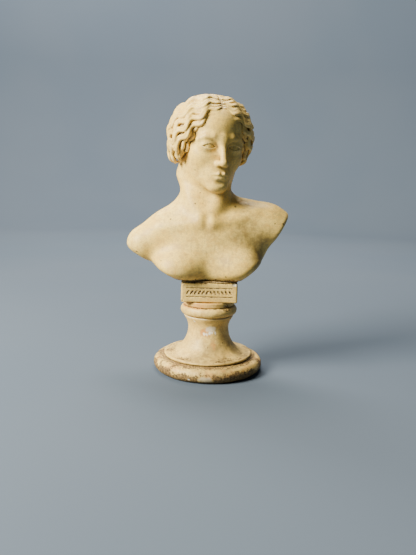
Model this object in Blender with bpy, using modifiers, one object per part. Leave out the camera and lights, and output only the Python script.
"""Small cast bust of a classical woman on a turned socle.

Units are metres, +Z is up, the front faces -Y and the origin is the centre
of the face that the socle rests on. Run it with blender --background
--python part.py, or from Blender's text editor.
"""
import math

import bmesh
import bpy
from mathutils import Matrix, Vector

MM = 0.001

# Driving dimensions, in millimetres.
JOINT_GAP = 0.3             # clearance between two pieces that touch
PAD_RADIUS = 44.0
PAD_THICKNESS = 1.5
PAD_RECESS = 1.0            # how far the pad sits up inside the foot
FOOT_TOP = 13.2
FOOT_MAX_RADIUS = 50.6
FOOT_TOP_RADIUS = 41.5
FOOT_BULGE_RADIUS = 6.3     # roundness of the foot's side
FOOT_BULGE_DROP = 0.6       # how far the bulge sits below mid-height
FOOT_FLAT = 2.6             # width of the ring that touches down round the pad
SPOOL_TOP = 52.0
SPOOL_LIP_RADIUS = 41.0
SPOOL_LIP_ROUND = 1.2
SPOOL_LIP_INSET = 1.6       # how far the sweep starts inside the lip
SPOOL_LIP_HEIGHT = 2.6
SPOOL_WAIST_RADIUS = 18.8
SPOOL_WAIST_HEIGHT = 39.5
SPOOL_SHOULDER_HEIGHT = 49.0
SPOOL_FLARE = 3.2           # how much wider the shoulder is than the waist
SPOOL_TOP_RADIUS = 22.9
COLLAR_TOP = 61.3
COLLAR_RADIUS = 26.2
COLLAR_FACE_RADIUS = 22.4
DISC_TOP = 65.9
DISC_RADIUS = 23.5
DISC_EDGE = 0.7
TABLET_TOP = 84.2
TABLET_WIDTH = 50.6
TABLET_DEPTH = 41.0
TABLET_CORNER = 3.0
TABLET_EDGE = 0.6
MORTAR_THICKNESS = 1.0
MORTAR_INSET = 1.2          # how far the joint sits back from the tablet's faces
SOCKET_TOP = 112.0          # top of the anchor sleeve inside the bust
ROD_RADIUS = 3.0
ROD_BORE_RADIUS = 3.6
ROD_BELOW_SEAT = 5.6        # length of the rod past the nut's seat
ROD_SHORT_OF_SOCKET = 2.0
SLEEVE_RADIUS = 5.0
SLEEVE_EDGE = 0.4
NUT_RECESS_RADIUS = 9.0
NUT_RECESS_DEPTH = 7.5
NUT_ACROSS_FLATS = 10.0
NUT_HEIGHT = 4.0
WASHER_RADIUS = 8.0
WASHER_THICKNESS = 1.2
PIN_RADIUS = 1.5
PIN_LENGTH = 10.0
PIN_SPACING = 30.0
TURNING_STEPS = 40
BUST_VOXEL = 2.2            # grid of the rough carving
BUST_SOFTENING = 24         # rounds of smoothing
BUST_KEEP = 0.2             # share of the carving's faces that is kept
CUTTER_OVERRUN = 5.0        # how far a bore's cutter passes the piece

FOOT_BOTTOM = PAD_THICKNESS - PAD_RECESS
SPOOL_BOTTOM = FOOT_TOP + JOINT_GAP
COLLAR_BOTTOM = SPOOL_TOP + JOINT_GAP
DISC_BOTTOM = COLLAR_TOP + JOINT_GAP
TABLET_BOTTOM = DISC_TOP + JOINT_GAP
MORTAR_BOTTOM = TABLET_TOP + JOINT_GAP
BUST_BOTTOM = MORTAR_BOTTOM + MORTAR_THICKNESS + JOINT_GAP
NUT_SEAT = FOOT_BOTTOM + NUT_RECESS_DEPTH

PLASTER = (0.72, 0.60, 0.38)


def clear_scene():
    for old in list(bpy.data.objects):
        bpy.data.objects.remove(old, do_unlink=True)


def new_collection(name):
    made = bpy.data.collections.new(name)
    bpy.context.scene.collection.children.link(made)
    return made


def material(name, colour, roughness, metallic=0.0):
    made = bpy.data.materials.new(name)
    made.use_nodes = True
    shader = made.node_tree.nodes["Principled BSDF"]
    shader.inputs["Base Color"].default_value = (*colour, 1.0)
    shader.inputs["Roughness"].default_value = roughness
    shader.inputs["Metallic"].default_value = metallic
    made.diffuse_color = (*colour, 1.0)
    return made


def new_object(name, mesh, collection, mat=None):
    made = bpy.data.objects.new(name, mesh)
    collection.objects.link(made)
    if mat is not None:
        mesh.materials.append(mat)
    return made


def shade_round(obj, angle=35.0):
    obj.data.shade_smooth()
    obj.data.set_sharp_from_angle(angle=math.radians(angle))


def arc(centre_r, centre_z, radius, start, end, count):
    """Points of a circular arc in the (radius, height) plane, in degrees."""
    points = []
    for step in range(count + 1):
        turn = math.radians(start + (end - start) * step / count)
        points.append((centre_r + radius * math.cos(turn), centre_z + radius * math.sin(turn)))
    return points


def turned(name, profile, collection, mat=None, steps=TURNING_STEPS):
    """Turn a closed half-section about Z; its outer side runs downwards."""
    mesh = bpy.data.meshes.new(name)
    verts = [(r * MM, 0.0, z * MM) for r, z in profile]
    edges = [(i, i + 1) for i in range(len(verts) - 1)]
    if profile[0][0] > 0.0:
        edges.append((len(verts) - 1, 0))
    mesh.from_pydata(verts, edges, [])
    obj = new_object(name, mesh, collection, mat)
    screw = obj.modifiers.new("Turn", "SCREW")
    screw.axis = "Z"
    screw.steps = steps
    screw.render_steps = steps
    screw.use_merge_vertices = True
    screw.merge_threshold = 0.00001
    screw.use_smooth_shade = True
    return obj


def cylinder(name, radius, bottom, top, collection, mat=None, sides=24, centre=(0.0, 0.0)):
    mesh = bpy.data.meshes.new(name)
    build = bmesh.new()
    bmesh.ops.create_cone(
        build, cap_ends=True, segments=sides,
        radius1=radius * MM, radius2=radius * MM, depth=(top - bottom) * MM,
    )
    build.to_mesh(mesh)
    build.free()
    obj = new_object(name, mesh, collection, mat)
    obj.location = (centre[0] * MM, centre[1] * MM, 0.5 * (top + bottom) * MM)
    shade_round(obj)
    return obj


def cut(obj, cutter, operation="DIFFERENCE"):
    cutter.hide_render = True
    cutter.display_type = "WIRE"
    boolean = obj.modifiers.new("Cut " + cutter.name, "BOOLEAN")
    boolean.operation = operation
    boolean.solver = "EXACT"
    boolean.object = cutter


def make_felt_pad(parts):
    felt = material("felt", (0.16, 0.13, 0.09), 0.95)
    bevel = 0.3
    profile = [
        (0.0, PAD_THICKNESS),
        (PAD_RADIUS - bevel, PAD_THICKNESS),
        (PAD_RADIUS, PAD_THICKNESS - bevel),
        (PAD_RADIUS, bevel),
        (PAD_RADIUS - bevel, 0.0),
        (0.0, 0.0),
    ]
    return turned("felt_pad", profile, parts, felt)


def make_foot_ring(parts):
    """Half-round foot, hollowed below for the felt and for the nut."""
    stone = material("foot_plaster", PLASTER, 0.55)
    middle = 0.5 * (FOOT_BOTTOM + FOOT_TOP) - FOOT_BULGE_DROP
    pad_seat = PAD_THICKNESS + JOINT_GAP
    bulge_centre = FOOT_MAX_RADIUS - FOOT_BULGE_RADIUS
    profile = [(ROD_BORE_RADIUS, FOOT_TOP), (FOOT_TOP_RADIUS, FOOT_TOP)]
    profile += [(FOOT_TOP_RADIUS + 1.2, FOOT_TOP - 0.9)]
    profile += arc(bulge_centre, middle, FOOT_BULGE_RADIUS, 62.0, -62.0, 8)
    profile += [(PAD_RADIUS + FOOT_FLAT, FOOT_BOTTOM)]
    profile += [(PAD_RADIUS + JOINT_GAP, FOOT_BOTTOM), (PAD_RADIUS + JOINT_GAP, pad_seat)]
    profile += [(NUT_RECESS_RADIUS, pad_seat), (NUT_RECESS_RADIUS, NUT_SEAT)]
    profile += [(ROD_BORE_RADIUS, NUT_SEAT)]
    return turned("foot_ring", profile, parts, stone)


def make_spool(parts):
    """Concave waisted drum with a thin lip at its foot."""
    stone = material("spool_plaster", PLASTER, 0.55)
    profile = [(ROD_BORE_RADIUS, SPOOL_TOP), (SPOOL_TOP_RADIUS - 0.3, SPOOL_TOP)]
    profile += [(SPOOL_TOP_RADIUS, SPOOL_TOP - 0.9)]
    flare_height = SPOOL_SHOULDER_HEIGHT - SPOOL_WAIST_HEIGHT
    for step in range(5):
        share = 1.0 - step / 4
        profile.append((
            SPOOL_WAIST_RADIUS + SPOOL_FLARE * share ** 2,
            SPOOL_WAIST_HEIGHT + flare_height * share,
        ))
    reach = SPOOL_LIP_RADIUS - SPOOL_LIP_INSET - SPOOL_WAIST_RADIUS
    drop = SPOOL_WAIST_HEIGHT - SPOOL_BOTTOM - SPOOL_LIP_HEIGHT
    for step in range(1, 9):
        turn = math.radians(90.0 * step / 8)
        profile.append((
            SPOOL_WAIST_RADIUS + reach * (1.0 - math.cos(turn)),
            SPOOL_WAIST_HEIGHT - drop * math.sin(turn),
        ))
    lip_centre = SPOOL_LIP_RADIUS - SPOOL_LIP_ROUND
    profile += arc(lip_centre, SPOOL_BOTTOM + 1.4, SPOOL_LIP_ROUND, 75.0, -75.0, 4)
    profile += [(SPOOL_LIP_RADIUS - SPOOL_LIP_INSET, SPOOL_BOTTOM)]
    profile += [(ROD_BORE_RADIUS, SPOOL_BOTTOM)]
    return turned("spool", profile, parts, stone)


def make_collar_ring(parts):
    stone = material("collar_plaster", PLASTER, 0.55)
    half = 0.5 * (COLLAR_TOP - COLLAR_BOTTOM)
    profile = [(ROD_BORE_RADIUS, COLLAR_TOP), (COLLAR_FACE_RADIUS, COLLAR_TOP)]
    profile += arc(COLLAR_RADIUS - half, COLLAR_BOTTOM + half, half, 78.0, -78.0, 8)
    profile += [(COLLAR_FACE_RADIUS, COLLAR_BOTTOM), (ROD_BORE_RADIUS, COLLAR_BOTTOM)]
    return turned("collar_ring", profile, parts, stone)


def make_top_disc(parts):
    stone = material("disc_plaster", PLASTER, 0.55)
    profile = [(ROD_BORE_RADIUS, DISC_TOP), (DISC_RADIUS - DISC_EDGE, DISC_TOP)]
    profile += [(DISC_RADIUS, DISC_TOP - DISC_EDGE), (DISC_RADIUS, DISC_BOTTOM + DISC_EDGE)]
    profile += [(DISC_RADIUS - DISC_EDGE, DISC_BOTTOM), (ROD_BORE_RADIUS, DISC_BOTTOM)]
    return turned("top_disc", profile, parts, stone)


def rounded_block(name, size, bottom, top, corner, edge, collection, mat=None):
    mesh = bpy.data.meshes.new(name)
    build = bmesh.new()
    bmesh.ops.create_cube(build, size=1.0)
    scale = Vector((size[0] * MM, size[1] * MM, (top - bottom) * MM))
    bmesh.ops.scale(build, vec=scale, verts=build.verts)
    upright = [e for e in build.edges if abs(e.verts[0].co.z - e.verts[1].co.z) > 1e-6]
    bmesh.ops.bevel(
        build, geom=upright, offset=corner * MM, segments=5, profile=0.5, affect="EDGES",
    )
    build.to_mesh(mesh)
    build.free()
    obj = new_object(name, mesh, collection, mat)
    obj.location = (0.0, 0.0, 0.5 * (top + bottom) * MM)
    if edge > 0.0:
        bevel = obj.modifiers.new("Edge", "BEVEL")
        bevel.width = edge * MM
        bevel.segments = 2
        bevel.limit_method = "ANGLE"
        bevel.angle_limit = math.radians(40.0)
    shade_round(obj)
    return obj


def make_tablet(parts, cutters):
    """Block that carries the front panel, bored for the rod and the pins."""
    stone = material("tablet_plaster", PLASTER, 0.55)
    size = (TABLET_WIDTH, TABLET_DEPTH)
    obj = rounded_block(
        "tablet", size, TABLET_BOTTOM, TABLET_TOP, TABLET_CORNER, TABLET_EDGE, parts, stone,
    )
    bore = cylinder(
        "tablet_bore", ROD_BORE_RADIUS, TABLET_BOTTOM - CUTTER_OVERRUN,
        TABLET_TOP + CUTTER_OVERRUN, cutters,
    )
    cut(obj, bore)
    for side, label in ((-1, "left"), (1, "right")):
        hole = cylinder(
            "tablet_pin_hole_" + label, PIN_RADIUS + JOINT_GAP,
            MORTAR_BOTTOM - JOINT_GAP - 0.5 * PIN_LENGTH, TABLET_TOP + CUTTER_OVERRUN,
            cutters, sides=16, centre=(side * 0.5 * PIN_SPACING, 0.0),
        )
        cut(obj, hole)
    return obj


def make_mortar_bed(parts, cutters):
    """Thin joint between the tablet and the bust."""
    mortar = material("mortar", (0.30, 0.24, 0.15), 0.9)
    size = (TABLET_WIDTH - 2.0 * MORTAR_INSET, TABLET_DEPTH - 2.0 * MORTAR_INSET)
    top = MORTAR_BOTTOM + MORTAR_THICKNESS
    obj = rounded_block(
        "mortar_bed", size, MORTAR_BOTTOM, top, TABLET_CORNER, 0.0, parts, mortar,
    )
    bore = cylinder(
        "mortar_bore", ROD_BORE_RADIUS, MORTAR_BOTTOM - CUTTER_OVERRUN,
        top + CUTTER_OVERRUN, cutters,
    )
    cut(obj, bore)
    for side, label in ((-1, "left"), (1, "right")):
        hole = cylinder(
            "mortar_pin_hole_" + label, PIN_RADIUS + JOINT_GAP,
            MORTAR_BOTTOM - CUTTER_OVERRUN, top + CUTTER_OVERRUN,
            cutters, sides=16, centre=(side * 0.5 * PIN_SPACING, 0.0),
        )
        cut(obj, hole)
    return obj


# The carving is roughed out from ellipsoids (centre, radii, turn about Z in
# degrees) and from tapered limbs (start, end, start radius, end radius).
TORSO_LUMPS = [
    ((-1, 3, 112), (49, 29, 40), 0),
    ((-24, -10, 105), (25, 22, 22), 0),
    ((24, -10, 106), (24, 22, 22), 0),
    ((-44, 1, 120), (22, 21, 20), 0),
    ((40, 1, 128), (21, 21, 22), 0),
    ((-25, 13, 122), (23, 17, 27), 0),
    ((25, 13, 127), (23, 17, 27), 0),
]
TORSO_LIMBS = [
    ((-38, 4, 127), (38, 4, 134), 18.0, 18.0),
    ((-16, 7, 147), (-59, 3, 116), 16.5, 17.0),
    ((4, 8, 148), (52, 4, 138), 14.5, 16.0),
    ((50, 4, 138), (76, 1, 127), 16.0, 15.5),
    ((42, 4, 132), (38, 4, 104), 15.0, 11.0),
    ((-8, 8, 138), (-7, 3, 186), 25.0, 21.5),
    ((-5, 8, 150), (-6, 8, 138), 26.0, 33.0),
]

# The head has its own frame: it turns, nods and leans about its middle.
HEAD_CENTRE = (-2.6, 0.0, 208.0)
HEAD_TURN = 20.0
HEAD_NOD = 5.0
HEAD_LEAN = 2.0
HEAD_LUMPS = [
    ((0, 3, 6), (31, 38, 34), 0),
    ((0, -12, -14), (25, 25, 28), 0),
    ((0, -27, -34), (10, 9, 8), 0),
    ((0, -35, -9), (4, 6, 10), 0),
    ((0, -31, 4), (17, 6, 5), 0),
    ((0, 8, 10), (36, 38.5, 33), 0),
    ((-15, -20, 23), (19, 12, 12), -35),
    ((15, -20, 23), (19, 12, 12), 35),
    ((-32, -4, 2), (8, 19, 20), 0),
    ((32, -4, 2), (8, 19, 20), 0),
    ((0, 24, -12), (24, 18, 18), 0),
    ((0, 43, 4), (16, 13, 14), 0),
]


def head_frame():
    """Matrix that carries the head's own frame to the part's frame."""
    turn = Matrix.Rotation(math.radians(HEAD_TURN), 4, "Z")
    nod = Matrix.Rotation(math.radians(HEAD_NOD), 4, "X")
    lean = Matrix.Rotation(math.radians(HEAD_LEAN), 4, "Y")
    return Matrix.Translation(Vector(HEAD_CENTRE) * MM) @ turn @ lean @ nod


def lump(name, centre, radii, turn, collection, frame=None):
    mesh = bpy.data.meshes.new(name)
    build = bmesh.new()
    bmesh.ops.create_uvsphere(build, u_segments=32, v_segments=20, radius=MM)
    bmesh.ops.scale(build, vec=Vector(radii), verts=build.verts)
    build.to_mesh(mesh)
    build.free()
    obj = new_object(name, mesh, collection)
    place = Matrix.Translation(Vector(centre) * MM)
    place = place @ Matrix.Rotation(math.radians(turn), 4, "Z")
    obj.matrix_world = place if frame is None else frame @ place
    return obj


def limb(name, start, end, start_radius, end_radius, collection):
    """Tapered limb with round ends, as one hull around two balls."""
    mesh = bpy.data.meshes.new(name)
    build = bmesh.new()
    for centre, radius in ((start, start_radius), (end, end_radius)):
        made = bmesh.ops.create_uvsphere(build, u_segments=24, v_segments=16, radius=radius * MM)
        bmesh.ops.translate(build, vec=Vector(centre) * MM, verts=made["verts"])
    hull = bmesh.ops.convex_hull(build, input=build.verts)
    spare = [item for item in hull["geom_interior"] if isinstance(item, bmesh.types.BMVert)]
    bmesh.ops.delete(build, geom=spare, context="VERTS")
    build.to_mesh(mesh)
    build.free()
    return new_object(name, mesh, collection)


def half_space(name, point, normal, cutters, size=240.0):
    """Big block whose face passes through a point, on the normal's side."""
    mesh = bpy.data.meshes.new(name)
    build = bmesh.new()
    bmesh.ops.create_cube(build, size=size * MM)
    bmesh.ops.translate(build, vec=(0.0, 0.0, 0.5 * size * MM), verts=build.verts)
    build.to_mesh(mesh)
    build.free()
    obj = new_object(name, mesh, cutters)
    obj.location = Vector(point) * MM
    obj.rotation_mode = "QUATERNION"
    obj.rotation_quaternion = Vector((0, 0, 1)).rotation_difference(Vector(normal))
    return obj


# Flat cuts of the carving: a point on the cut and the direction it faces.
TRIMS = {
    "left_underside": ((-68.0, 0.0, 106.0), (-0.52, -0.16, -0.84)),
    "right_stump": ((66.0, 0.0, 136.0), (0.876, 0.0, -0.482)),
    "right_underside": ((46.0, 0.0, 98.0), (0.62, -0.16, -0.77)),
    "front_underside": ((0.0, -30.0, 90.0), (0.0, -0.34, -0.94)),
    "back_underside": ((0.0, 12.0, 86.5), (0.0, 0.5, -0.866)),
}


def joined_mesh(name, pieces):
    """Join the pieces' meshes, as placed, into one mesh and drop the pieces."""
    bpy.context.view_layer.update()
    build = bmesh.new()
    for piece in pieces:
        copy = piece.data.copy()
        copy.transform(piece.matrix_world)
        build.from_mesh(copy)
        bpy.data.meshes.remove(copy)
        bpy.data.objects.remove(piece, do_unlink=True)
    mesh = bpy.data.meshes.new(name)
    build.to_mesh(mesh)
    build.free()
    return mesh


def make_bust(parts, cutters):
    """Head, neck and cut-off shoulders as one carving on a flat seat."""
    stone = material("bust_plaster", PLASTER, 0.5)
    pieces = []
    for index, (centre, radii, turn) in enumerate(TORSO_LUMPS):
        pieces.append(lump("torso_lump_%02d" % index, centre, radii, turn, cutters))
    for index, (centre, radii, turn) in enumerate(HEAD_LUMPS):
        pieces.append(lump(
            "head_lump_%02d" % index, centre, radii, turn, cutters, head_frame(),
        ))
    for index, (start, end, start_radius, end_radius) in enumerate(TORSO_LIMBS):
        pieces.append(limb(
            "torso_limb_%02d" % index, start, end, start_radius, end_radius, cutters,
        ))
    obj = new_object("bust", joined_mesh("bust", pieces), parts, stone)
    rough = obj.modifiers.new("Rough out", "REMESH")
    rough.mode = "VOXEL"
    rough.voxel_size = BUST_VOXEL * MM
    for label, (point, normal) in TRIMS.items():
        cut(obj, half_space("trim_" + label, point, normal, cutters))
    again = obj.modifiers.new("Even out", "REMESH")
    again.mode = "VOXEL"
    again.voxel_size = BUST_VOXEL * MM
    soften = obj.modifiers.new("Soften", "SMOOTH")
    soften.factor = 0.5
    soften.iterations = BUST_SOFTENING
    thin = obj.modifiers.new("Thin out", "DECIMATE")
    thin.decimate_type = "COLLAPSE"
    thin.ratio = BUST_KEEP
    cut(obj, half_space("trim_seat", (0.0, 0.0, BUST_BOTTOM), (0.0, 0.0, -1.0), cutters))
    socket = cylinder(
        "bust_socket", SLEEVE_RADIUS + JOINT_GAP, BUST_BOTTOM - CUTTER_OVERRUN,
        SOCKET_TOP + JOINT_GAP, cutters,
    )
    cut(obj, socket)
    for side, label in ((-1, "left"), (1, "right")):
        hole = cylinder(
            "bust_pin_hole_" + label, PIN_RADIUS + JOINT_GAP,
            BUST_BOTTOM - CUTTER_OVERRUN, MORTAR_BOTTOM + 0.5 * PIN_LENGTH + 1.0,
            cutters, sides=16, centre=(side * 0.5 * PIN_SPACING, 0.0),
        )
        cut(obj, hole)
    obj.data.shade_smooth()
    return obj


def make_tie_rod(parts):
    steel = material("rod_steel", (0.42, 0.38, 0.34), 0.45, 0.9)
    obj = cylinder(
        "tie_rod", ROD_RADIUS, NUT_SEAT - ROD_BELOW_SEAT, SOCKET_TOP - ROD_SHORT_OF_SOCKET,
        parts, steel,
    )
    bevel = obj.modifiers.new("Edge", "BEVEL")
    bevel.width = 0.5 * MM
    bevel.segments = 1
    bevel.limit_method = "ANGLE"
    bevel.angle_limit = math.radians(60.0)
    return obj


def make_anchor_sleeve(parts):
    """Tube set in the bust that the rod screws into."""
    brass = material("sleeve_brass", (0.62, 0.48, 0.22), 0.4, 0.9)
    inner = ROD_RADIUS + JOINT_GAP
    bottom = BUST_BOTTOM + 0.4
    profile = [(inner, SOCKET_TOP), (SLEEVE_RADIUS - SLEEVE_EDGE, SOCKET_TOP)]
    profile += [(SLEEVE_RADIUS, SOCKET_TOP - SLEEVE_EDGE), (SLEEVE_RADIUS, bottom + SLEEVE_EDGE)]
    profile += [(SLEEVE_RADIUS - SLEEVE_EDGE, bottom), (inner, bottom)]
    return turned("anchor_sleeve", profile, parts, brass, steps=32)


def make_washer(parts):
    steel = material("washer_steel", (0.45, 0.42, 0.38), 0.4, 0.9)
    top = NUT_SEAT - JOINT_GAP
    bottom = top - WASHER_THICKNESS
    inner = ROD_RADIUS + JOINT_GAP
    profile = [(inner, top), (WASHER_RADIUS, top), (WASHER_RADIUS, bottom), (inner, bottom)]
    return turned("washer", profile, parts, steel, steps=32)


def make_hex_nut(parts, cutters):
    steel = material("nut_steel", (0.45, 0.42, 0.38), 0.4, 0.9)
    top = NUT_SEAT - WASHER_THICKNESS - 2.0 * JOINT_GAP
    corner = 0.5 * NUT_ACROSS_FLATS / math.cos(math.radians(30.0))
    obj = cylinder("hex_nut", corner, top - NUT_HEIGHT, top, parts, steel, sides=6)
    bevel = obj.modifiers.new("Edge", "BEVEL")
    bevel.width = 0.35 * MM
    bevel.segments = 1
    bore = cylinder(
        "nut_bore", ROD_RADIUS + JOINT_GAP, top - NUT_HEIGHT - CUTTER_OVERRUN,
        top + CUTTER_OVERRUN, cutters,
    )
    cut(obj, bore)
    return obj


def make_locating_pins(parts):
    brass = material("pin_brass", (0.62, 0.48, 0.22), 0.4, 0.9)
    bottom = MORTAR_BOTTOM - 0.5 * PIN_LENGTH
    for side, label in ((-1, "left"), (1, "right")):
        obj = cylinder(
            "locating_pin_" + label, PIN_RADIUS, bottom, bottom + PIN_LENGTH, parts, brass,
            sides=16, centre=(side * 0.5 * PIN_SPACING, 0.0),
        )
        bevel = obj.modifiers.new("Edge", "BEVEL")
        bevel.width = 0.3 * MM
        bevel.segments = 1
        bevel.limit_method = "ANGLE"
        bevel.angle_limit = math.radians(60.0)


def main():
    clear_scene()
    parts = new_collection("classical_bust")
    cutters = new_collection("cutters")
    cutters.hide_render = True
    for make in (
        make_felt_pad, make_foot_ring, make_spool, make_collar_ring, make_top_disc,
        make_tie_rod, make_anchor_sleeve, make_washer, make_locating_pins,
    ):
        make(parts)
    for make in (make_tablet, make_mortar_bed, make_bust, make_hex_nut):
        make(parts, cutters)


main()
